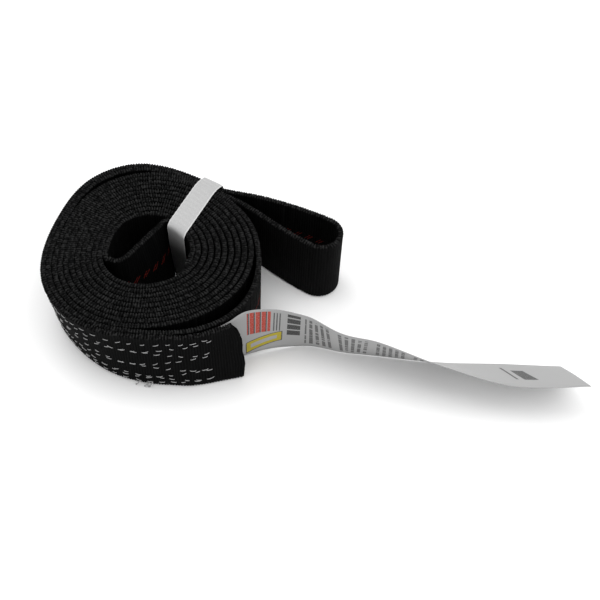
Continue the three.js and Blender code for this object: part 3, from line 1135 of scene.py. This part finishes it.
    def _labels(self, columns: int) -> Array:
        """Across-coordinate of each point of a section, with the first again at the end.

        Args:
            columns: Points on each wide face.

        Returns:
            0 to 1 on the right face, 1 to 1.1 over the top, then 1.1 to 2.1 down the left face.
        """
        high = self.section(columns)[1] / self.roll.width
        right = high[:columns]
        left = 2.1 - high[columns + 4:2 * columns + 4]
        return np.concatenate([right, [1.01, 1.04, 1.06, 1.09], left, [2.13, 2.17, 2.2]])

    def _surface(self, where: Array, columns: int) -> Array:
        """Surface coordinates of the corners of one part's cells.

        Args:
            where: Distances along the strip.
            columns: Points on each wide face.

        Returns:
            Coordinates, corners by two.
        """
        label = self._labels(columns)
        size = len(label) - 1
        i, j = np.meshgrid(np.arange(len(where) - 1), np.arange(size), indexing="ij")
        s = where * MM
        corners = np.stack([
            np.stack([s[i], label[j]], -1), np.stack([s[i], label[j + 1]], -1),
            np.stack([s[i + 1], label[j + 1]], -1), np.stack([s[i + 1], label[j]], -1)], axis=2)
        return corners[:, :, ::-1].reshape(-1, 2)

    def _seam(self, fine: Array, plain: Array, s0: float, s1: float) -> tuple[list, Array]:
        """Faces between the fine part's last section and the plain part's first.

        Args:
            fine: Points of the fine part.
            plain: Points of the plain part; not used.
            s0: Where the fine part ends.
            s1: Where the plain part starts.

        Returns:
            The faces and the surface coordinates of their corners.
        """
        n = self.face_columns
        start, size = (fine.shape[0] - 1) * fine.shape[1], fine.shape[1]
        other = fine.shape[0] * size
        match = [0, n - 1, n, n + 1, n + 2, n + 3, n + 4, 2 * n + 3, 2 * n + 4, 2 * n + 5]
        label_a, label_b = self._labels(n), self._labels(2)
        faces, uv = [], []
        for k, a in enumerate(match):
            last = k == len(match) - 1
            b = size if last else match[k + 1]
            run = list(range(a, b + 1))
            faces.append([start + r % size for r in run][::-1]
                         + [other + k, other + (k + 1) % len(match)])
            uv += [(s0 * MM, label_a[r]) for r in run][::-1]
            uv += [(s1 * MM, label_b[k]), (s1 * MM, label_b[k + 1])]
        return faces, np.array(uv)


# Sewing


@dataclass
class Sewing:
    """White thread through the sewn plies: wavy rows that near each other, and loose ends."""

    webbing: Webbing
    start: float = 21.0             # distance of the first stitches from the free end
    end: float = 150.0
    pitch: float = 7.6
    stitch: float = 3.9
    thread: float = 0.45
    rows: tuple = ((0.87, 0.015), (0.765, 0.075), (0.665, -0.035), (0.5, 0.08), (0.375, -0.045),
                   (0.225, 0.085), (0.165, -0.035), (0.09, 0.025))
    wave: float = 96.0
    place_spread: float = 0.5       # unevenness of the stitches' places, mm
    lengths: tuple = (0.75, 1.15)   # shortest and longest, in stitches
    height_spread: float = 0.006    # unevenness of their heights, in widths of the webbing
    tilt: tuple = (0.005, 0.009)    # mean and spread of half a stitch's fall, in widths
    crest: float = 25.0             # where the rows' waves are highest, from the free end
    around: int = 8                 # sides of a thread
    twist_step: float = 0.0006      # metres of twist between two sections of a thread
    ends: tuple = ((66.0, 1.0, 0.05), (62.5, -0.6, 0.035), (58.5, 0.6, 0.06), (60.5, 1.0, 0.04))

    def tubes(self, lines: Array, radius: Array) -> tuple[Array, Array]:
        """Tubes round many short lines at once: circles in the plane square to each line.

        Args:
            lines: Points of each line, lines by points by three.
            radius: Radius at each point of a line.

        Returns:
            Points and quads.
        """
        around = self.around
        run = unit(np.gradient(lines, axis=1))
        side = unit(np.cross(run, np.array([0.0, 0.0, 1.0])))
        up = np.cross(side, run)
        t = np.arange(around) * 2 * np.pi / around
        ring = (side[:, :, None] * np.cos(t)[None, None, :, None]
                + up[:, :, None] * np.sin(t)[None, None, :, None])
        points = lines[:, :, None] + ring * radius[None, :, None, None]
        count, steps = lines.shape[:2]
        one = grid_quads(steps, around, True)
        quads = (one[None] + (np.arange(count) * steps * around)[:, None, None]).reshape(-1, 4)
        return points.reshape(-1, 3), quads

    def stitches(self) -> Array:
        """Centre lines of the stitches: each rises out of the webbing, runs and dips back in.

        Returns:
            Lines by points by three.
        """
        seed = np.random.default_rng(7)
        lines = []
        t = np.linspace(-1, 1, 9)
        for middle, swing in self.rows:
            first = self.start + seed.uniform(0, 5)
            centre = np.arange(first, self.end, self.pitch)
            centre = centre + seed.normal(0, self.place_spread, len(centre))
            length = self.stitch * seed.uniform(*self.lengths, (len(centre), 1))
            along = centre[:, None] + t * length / 2
            high = middle + swing * np.cos(2 * np.pi * (along - self.crest) / self.wave)
            high = high + seed.normal(0, self.height_spread, (len(centre), 1))
            high = high - seed.normal(*self.tilt, (len(centre), 1)) * t
            bulge = self.webbing.roll.thick / 2 + 0.25 - 0.6 * np.abs(t) ** 4
            lines.append(self.webbing.strip.at(along, high, np.broadcast_to(bulge, along.shape)))
        return np.concatenate(lines)

    def loose_ends(self) -> list[Array]:
        """Frayed thread ends below the last row, as curled lines.

        Returns:
            Points of each line.
        """
        strip, half = self.webbing.strip, self.webbing.roll.thick / 2
        ends = []
        for at, curl, rise in self.ends:
            t = np.linspace(0, 1, 14)
            along = at + curl * (6.5 * t - 3.5 * t**2)
            out = half + 0.3 + 2.4 * np.sin(0.8 * np.pi * t)
            ends.append(strip.at(along, rise * (1 - t) ** 2 + 0.015, out))
        return ends

    def build(self) -> list[bpy.types.Object]:
        """Make the stitches and the loose ends.

        Returns:
            The pieces.
        """
        lines = self.stitches()
        shape = np.sqrt(np.clip(1 - np.linspace(-1, 1, lines.shape[1]) ** 8, 0, 1))
        radius = self.thread / 2 * np.maximum(shape, 0.25)
        points, quads = self.tubes(lines, radius)
        made = [self._piece("stitching", points, quads, lines.shape[1])]
        ends = np.stack(self.loose_ends())
        taper = np.linspace(1, 0.6, ends.shape[1]) * self.thread * 0.95
        points, quads = self.tubes(ends, taper)
        made.append(self._piece("thread_ends", points, quads, ends.shape[1]))
        return made

    def _piece(self, name: str, points: Array, quads: Array, steps: int) -> bpy.types.Object:
        """One object of tubes with closed ends, and coordinates along and round the thread.

        Args:
            name: The piece's name.
            points: Points of all tubes.
            quads: Faces of their sides.
            steps: Sections of each tube.

        Returns:
            The piece.
        """
        around = self.around
        count = len(points) // (steps * around)
        faces = quads[:, ::-1].tolist()
        label = quads[:, ::-1]
        s = ((label // around) % steps) * self.twist_step
        v = (label % around) / around
        uv = [np.stack([s, v], -1).reshape(-1, 2)]
        for k in range(count):
            first = k * steps * around
            last = first + (steps - 1) * around
            faces += [list(range(first, first + around)), list(range(last, last + around))[::-1]]
            uv.append(np.zeros((2 * around, 2)))
        return make_piece(name, points, faces, np.vstack(uv))


# Tie band


@dataclass
class TieBand:
    """A satin ribbon in a closed loop round one side of the roll."""

    webbing: Webbing
    width: float = 15.0
    thick: float = 0.42
    hem: float = 0.2                # extra thickness of the corded edges
    clearance: float = 0.4
    shoulder: float = 0.72
    bends: tuple = (0.9, 4.4, 6.0, 2.2, 0.9)    # how far each corner's curve reaches
    slack: float = 1.6              # how far it hangs off the wall of the hollow
    skew: float = 4.0               # how far it swings aside down there
    columns: int = 20
    steps: int = 300

    def _span(self, offset: float) -> tuple[float, float]:
        """Where the webbing first and last meets a line along the band.

        Args:
            offset: How far to one side of the roll's axis the line passes.

        Returns:
            Places of the band's inner and outer leg along that line.
        """
        roll = self.webbing.roll
        angle = math.radians(roll.band_angle)
        along = np.array([math.cos(angle), math.sin(angle)])
        aside = np.array([along[1], -along[0]])
        plan = self.webbing.strip.top[:, :2]
        side = plan @ aside - offset
        cross = np.nonzero(side[:-1] * side[1:] < 0)[0]
        share = side[cross] / (side[cross] - side[cross + 1])
        hits = (plan[cross] + (plan[cross + 1] - plan[cross]) * share[:, None]) @ along
        hits = hits[hits > 0]
        half = 0.6 * roll.thick + self.clearance
        return float(hits.min() - half - self.slack), float(hits.max() + half)

    def _loop(self, inner: float, outer: float) -> Array:
        """Rounded loop along the five corners of the held section.

        Args:
            inner: Place of the leg in the hollow.
            outer: Place of the outer leg.

        Returns:
            Evenly spaced points, as run and height.
        """
        roll = self.webbing.roll
        high = roll.width + self.clearance
        knee = outer - 2 * roll.ply_pitch - roll.thick - roll.turn_gap
        drop = roll.band_press * self.shoulder
        low = self.thick / 2 + 0.1
        corners = np.array([(inner, low), (inner, high), (knee, high), (outer, high - drop),
                            (outer, low)])
        before = np.roll(corners, 1, axis=0)
        after = np.roll(corners, -1, axis=0)
        radius = np.array(self.bends)[:, None]
        start = corners + unit(before - corners) * radius
        end = corners + unit(after - corners) * radius
        t = np.linspace(0, 1, 12)[None, :, None]
        bends = ((1 - t) ** 2 * start[:, None] + 2 * (1 - t) * t * corners[:, None]
                 + t**2 * end[:, None])
        path = np.vstack([bends.reshape(-1, 2), start[:1]])
        where = arc_length(path)
        even = np.linspace(0, where[-1], self.steps, endpoint=False)
        return np.stack([np.interp(even, where, path[:, k]) for k in range(2)], -1)

    def build(self) -> tuple[bpy.types.Object, float]:
        """Make the band: a thin lens-edged section carried round the loop.

        Returns:
            The piece and the length of its loop, mm.
        """
        roll = self.webbing.roll
        v = np.linspace(0, 1, self.columns + 1)
        offsets = roll.band_offset + self.width * (v - 0.5)
        spans = np.array([self._span(o) for o in offsets])
        spans = np.stack([np.polyval(np.polyfit(v, spans[:, k], 2), v) for k in (0, 1)], -1)
        loops = np.stack([self._loop(*span) for span in spans])
        run = unit(np.roll(loops, -1, axis=1) - np.roll(loops, 1, axis=1))
        out = np.stack([-run[..., 1], run[..., 0]], -1)
        top = smooth_step(loops[..., 1], roll.width - 8, roll.width - 1)
        ripple = 0.16 * top * np.cos(2 * np.pi * (loops[..., 0] - spans[:, :1]) / roll.pitch)
        loops = loops + out * ripple[..., None]
        off_middle = np.abs(v - 0.5)
        rim = smooth_step(off_middle, 0.485, 0.5)
        edge = smooth_step(off_middle, 0.43, 0.47) * (1 - rim)
        half = (self.thick / 2 + edge * self.hem / 2) * (1 - 0.75 * rim)
        angle = math.radians(roll.band_angle)
        along = np.array([math.cos(angle), math.sin(angle), 0])
        aside = np.array([along[1], -along[0], 0])
        depth = np.clip(1 - loops[..., 1] / roll.width, 0, 1) ** 2
        inside = smooth_step(-loops[..., 0], -spans[:, :1] - 9, -spans[:, :1] - 3)
        places = offsets[:, None] + self.skew * depth * inside

        def lift(flat: Array) -> Array:
            """Carry a loop to its place in the row.

            Args:
                flat: Points as run and height.

            Returns:
                Points in space.
            """
            plan = flat[..., :1] * along + places[..., None] * aside
            plan[..., 2] = flat[..., 1]
            return plan

        outer = lift(loops + out * half[:, None, None])
        inner = lift(loops - out * half[:, None, None])
        ring = np.concatenate([outer, inner[::-1]], axis=0).transpose(1, 0, 2)
        ring = np.concatenate([ring, ring[:1]])
        size = ring.shape[1]
        quads = grid_quads(ring.shape[0], size, True)
        where = np.linspace(0, arc_length(loops[self.columns // 2])[-1], ring.shape[0])
        label = np.concatenate([v, v[::-1]])
        uv = np.stack([where[quads // size] * MM, label[quads % size]], -1)
        quads = quads % ((ring.shape[0] - 1) * size)
        piece = make_piece("tie_band_satin", ring[:-1].reshape(-1, 3), quads.tolist(), uv.reshape(-1, 2))
        return piece, float(where[-1])


# Label


@dataclass
class LabelTape:
    """A tape held between tail and standing part, standing on its edge and leaning over."""

    webbing: Webbing
    width: float = 44.0
    thick: float = 0.32
    room: float = 0.5
    clearance: float = 0.35
    tuck_angle: float = 20.0
    tuck_lift: float = 3.0
    foot: float = 0.3
    end_slant: float = 7.0
    slant_reach: float = 45.0
    route: tuple = ((10.7, 7.4, 88.3), (23.2, 10.7, 91.1), (37.2, 12.5, 96.1), (52.2, 11.4, 102.4),
                    (73.2, 3.1, 111.2), (93.7, -0.8, 114.5), (135.2, -10.9, 129.0),
                    (176.7, -16.0, 142.8), (220.7, -17.4, 140.1))
    upright: float = 90.0           # lean of a tape that stands square to the floor, degrees
    flat_by: float = 100.0          # lean at which its edge is down on the floor
    cup: float = 0.5                # how far its middle bows out
    columns: int = 16

    def build(self) -> tuple[bpy.types.Object, float]:
        """Make the tape: a flat section carried along its route at each place's lean.

        Returns:
            The piece and its length, mm.
        """
        roll = self.webbing.roll
        tuck = np.linspace(self.tuck_angle, roll.tail_angle - 3, 3) / 360
        beside = (roll.thick + self.room) / 2 + self.clearance
        hidden = roll.on_roll(tuck, roll.slack(tuck) + beside, np.zeros(3))[0]
        outside = np.array(self.route) + np.append(hidden[-1, :2], 0.0)
        knots = np.vstack([np.column_stack([hidden[:, :2], np.full(3, self.upright)]), outside])
        line = through(knots, 40)
        run = unit(np.gradient(line[:, :2], axis=0))
        level = np.column_stack([-run[:, 1], run[:, 0], np.zeros(len(run))])
        lean = np.radians(line[:, 2])[:, None]
        up = level * np.cos(lean) + np.array([0, 0, 1.0]) * np.sin(lean)
        side = unit(np.cross(up, np.column_stack([run, np.zeros(len(run))])))
        lift = self.tuck_lift * (1 - smooth_step(line[:, 2], self.upright, self.flat_by))
        height = self.foot + self.room / 2 + lift + self.width / 2 * np.sin(lean[:, 0])
        middle = np.column_stack([line[:, :2], height])
        v = np.linspace(0, 1, self.columns + 1)
        sheet = middle[:, None] + up[:, None] * ((v - 0.5) * self.width)[None, :, None]
        where = arc_length(middle)
        slant = self.end_slant * np.clip((where - where[-1]) / self.slant_reach + 1, 0, 1)
        flat_run = np.column_stack([run, np.zeros(len(run))])
        sheet = sheet - (slant[:, None] * (1 - v))[..., None] * flat_run[:, None]
        cup = self.cup * np.sin(np.pi * v)[None, :] * np.sin(where / 34 + 0.4)[:, None]
        sheet = sheet + side[:, None] * (cup * smooth_step(where, 40, 90)[:, None])[..., None]
        half = self.thick / 2
        ring = np.concatenate([sheet - side[:, None] * half, (sheet + side[:, None] * half)[:, ::-1]], 1)
        size = ring.shape[1]
        quads = grid_quads(ring.shape[0], size, True)
        label = np.concatenate([v, 2 + v[::-1]])
        uv = np.stack([where[quads // size] * MM, label[quads % size]], -1)
        last = (ring.shape[0] - 1) * size
        caps = [list(range(size)), list(range(last, last + size))[::-1]]
        uv = np.vstack([uv[:, ::-1].reshape(-1, 2), np.zeros((2 * size, 2))])
        faces = quads[:, ::-1].tolist() + caps
        return make_piece("label_tape", ring.reshape(-1, 3), faces, uv), float(where[-1])


# Studio


@dataclass(frozen=True)
class Studio:
    """Camera, floor and soft light."""

    target: tuple = (62.5, -3.5, 0.0)
    elevation: float = 52.0
    distance: float = 720.0
    lens: float = 63.72
    shift: float = 1 / 12

    def camera(self) -> None:
        """Set the camera: the target seen from the front, from above at the elevation."""
        e = math.radians(self.elevation)
        data = bpy.data.cameras.new("camera")
        data.lens, data.shift_x, data.sensor_width = self.lens, self.shift, 36.0
        data.clip_start, data.clip_end = 0.02, 50.0
        camera = bpy.data.objects.new("camera", data)
        back = np.array([0.0, -math.cos(e), math.sin(e)]) * self.distance
        camera.location = ((np.array(self.target) + ROLL_AXIS + back) * MM).tolist()
        camera.rotation_euler = (math.pi / 2 - e, 0.0, 0.0)
        bpy.context.scene.collection.objects.link(camera)
        bpy.context.scene.camera = camera

    def floor(self) -> None:
        """Lay a plain white floor."""
        half = 6.0
        mesh = bpy.data.meshes.new("floor")
        mesh.from_pydata([(-half, -half, 0), (half, -half, 0), (half, half, 0), (-half, half, 0)],
                         [], [(0, 1, 2, 3)])
        floor = bpy.data.objects.new("floor", mesh)
        bpy.context.scene.collection.objects.link(floor)
        paint = Paint("white_floor")
        paint.set(Base_Color=(0.93, 0.93, 0.93, 1.0), Roughness=0.9)
        paint.shader.inputs["Specular IOR Level"].default_value = 0.1
        mesh.materials.append(paint.material)

    def light(self) -> None:
        """Even white surroundings and two large soft lamps."""
        world = bpy.data.worlds.new("studio")
        world.use_nodes = True
        world.node_tree.nodes["Background"].inputs[0].default_value = (1, 1, 1, 1)
        world.node_tree.nodes["Background"].inputs[1].default_value = 0.92
        bpy.context.scene.world = world
        for name, power, size, place in (
            ("key", 7.0, 0.9, (-0.45, 0.3, 1.25)),
            ("fill", 5.0, 1.2, (0.6, -0.1, 1.2)),
        ):
            data = bpy.data.lights.new(name, "AREA")
            data.energy, data.size = power, size
            lamp = bpy.data.objects.new(name, data)
            lamp.location = place
            aim = -np.array(place)
            lamp.rotation_euler = (math.atan2(math.hypot(aim[0], aim[1]), -aim[2]), 0.0,
                                   math.atan2(aim[1], aim[0]) - math.pi / 2)
            bpy.context.scene.collection.objects.link(lamp)
        bpy.context.scene.view_settings.view_transform = "Standard"


def main() -> None:
    """Build the strap's pieces in order and report each."""
    logging.basicConfig(level=logging.INFO, format="%(message)s")
    studio = Studio()
    studio.camera()
    studio.floor()
    studio.light()

    webbing = Webbing()
    strap = webbing.build()
    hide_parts("webbing")
    dress(strap, WebbingFinish(webbing.rib_pitch, webbing.roll.width).make())
    LOG.info("webbing length %.0f mm", webbing.strip.length)

    thread = ThreadFinish().make()
    for piece in Sewing(webbing).build():
        dress(piece, thread)

    band_maker = TieBand(webbing)
    band, loop = band_maker.build()
    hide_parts("tie_band")
    dress(band, SatinFinish(band_maker.width).make())
    band_maker.width * MM
    loop * MM

    tape_maker = LabelTape(webbing)
    tape, length = tape_maker.build()
    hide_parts("label")
    dress(tape, TapeFinish(tape_maker.width).make())
    tape_maker.width * MM
    length * MM
    LOG.info("band loop %.0f mm, tape length %.0f mm", loop, length)

    bpy.context.view_layer.update()


if __name__ == "__main__":
    main()
